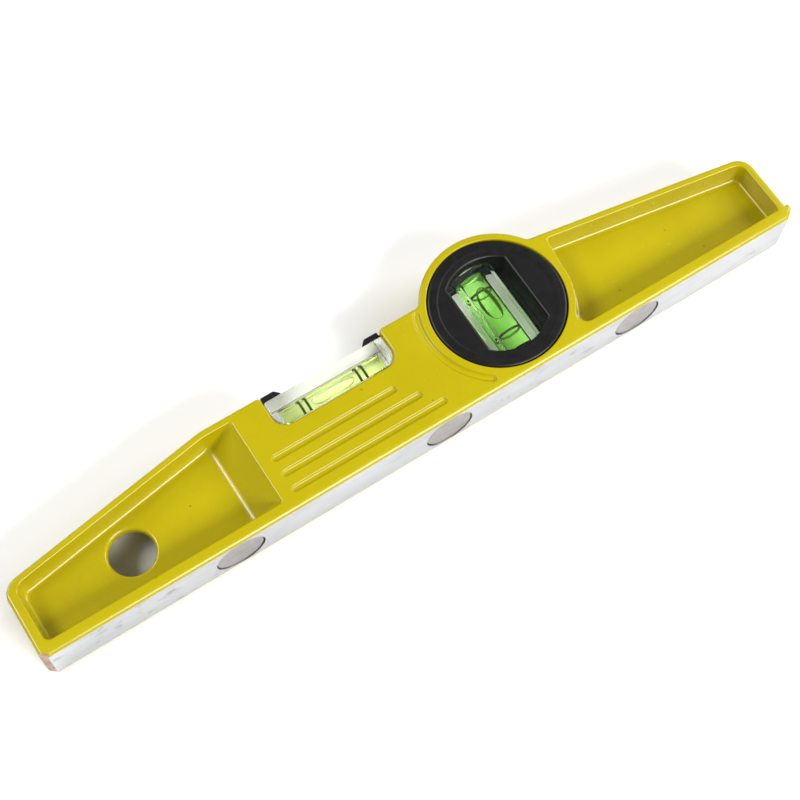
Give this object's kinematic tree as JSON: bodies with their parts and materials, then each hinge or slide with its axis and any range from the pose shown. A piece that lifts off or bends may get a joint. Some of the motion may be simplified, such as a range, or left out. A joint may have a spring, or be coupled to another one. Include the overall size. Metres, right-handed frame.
{
  "type": "magnetic torpedo spirit level",
  "caption": "Short cast level with a flat magnetic working face, a level vial in a top notch, a plumb vial in a round capsule and a hanging hole in a pocketed end.",
  "frame": {"origin": "under the middle of the bounding box, on the surface that the back face lies on", "axes": "+X along the level towards the end without the hanging hole, +Y from the working face to the top edge, +Z out of the front face"},
  "size_m": [0.254, 0.046, 0.018],
  "materials": {
    "enamelled_casting": "glossy yellow enamel, working face milled bare",
    "magnet_nickel": "dull nickel plate",
    "clear_acrylic": "clear polished acrylic",
    "green_spirit": "clear yellow-green liquid",
    "bubble_air": "clear air bubble",
    "mark_ink": "dark printed band",
    "black_plastic": "satin black moulding"
  },
  "bodies": {
    "level": {"cast_body": "enamelled_casting", "magnet_left": "magnet_nickel", "magnet_middle": "magnet_nickel", "magnet_right": "magnet_nickel", "level_vial_block": "clear_acrylic", "level_vial_spirit": "green_spirit", "level_mark_1": "mark_ink", "level_mark_2": "mark_ink", "level_mark_3": "mark_ink", "level_mark_4": "mark_ink", "level_plug_left": "clear_acrylic", "level_plug_right": "clear_acrylic", "retainer_left": "black_plastic", "retainer_right": "black_plastic", "plumb_capsule_front": "black_plastic", "plumb_capsule_rear": "black_plastic", "plumb_vial_block": "clear_acrylic", "plumb_vial_spirit": "green_spirit", "plumb_mark_lower": "mark_ink", "plumb_mark_upper": "mark_ink", "plumb_plug_lower": "clear_acrylic", "plumb_plug_upper": "clear_acrylic"},
    "level_vial_bubble": {"level_bubble": "bubble_air"},
    "plumb_vial_bubble": {"plumb_bubble": "bubble_air"}
  },
  "joints": [
    {"name": "level_bubble_run", "type": "slide", "parent": "level", "child": "level_vial_bubble", "axis": [1, 0, 0], "range_m": [-0.0095, 0.0095]},
    {"name": "plumb_bubble_run", "type": "slide", "parent": "level", "child": "plumb_vial_bubble", "axis": [0, 1, 0], "range_m": [-0.01, 0.0038]}
  ]
}
